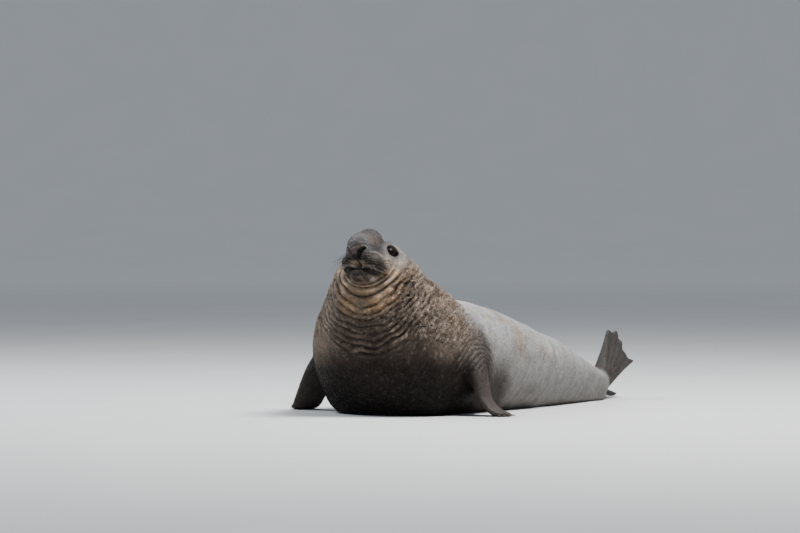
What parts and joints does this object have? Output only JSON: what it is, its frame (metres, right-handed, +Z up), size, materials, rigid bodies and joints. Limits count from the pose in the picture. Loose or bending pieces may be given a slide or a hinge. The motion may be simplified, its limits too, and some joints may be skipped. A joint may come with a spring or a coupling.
{
  "type": "elephant seal",
  "caption": "Life-size bull elephant seal resting on its belly, chest and head raised on the fore flippers, hind flippers spread behind.",
  "frame": {"origin": "on the floor, under the middle of the seal's box", "axes": "+Z up, the seal faces -Y with its tail towards +Y, its own left side is +X"},
  "size_m": [2.1062, 3.8516, 1.4643],
  "materials": {
    "face_skin": "short damp fur, dull",
    "neck_coat": "short fur over folded skin, dull",
    "body_coat": "short flat fur, slight sheen",
    "flipper_skin": "short damp fur, dull",
    "eye": "wet and glossy",
    "claw_horn": "horn, satin"
  },
  "bodies": {
    "root": {"proboscis": "face_skin", "head": "face_skin", "lower_jaw": "face_skin", "neck": "neck_coat", "chest": "neck_coat", "torso": "body_coat", "loin": "body_coat", "hips": "body_coat", "tail_root": "body_coat", "tail": "body_coat", "fore_flipper_left": "flipper_skin", "fore_flipper_right": "flipper_skin", "hind_flipper_left": "flipper_skin", "hind_flipper_right": "flipper_skin", "eye_left": "eye", "eye_right": "eye"}
  },
  "joints": []
}
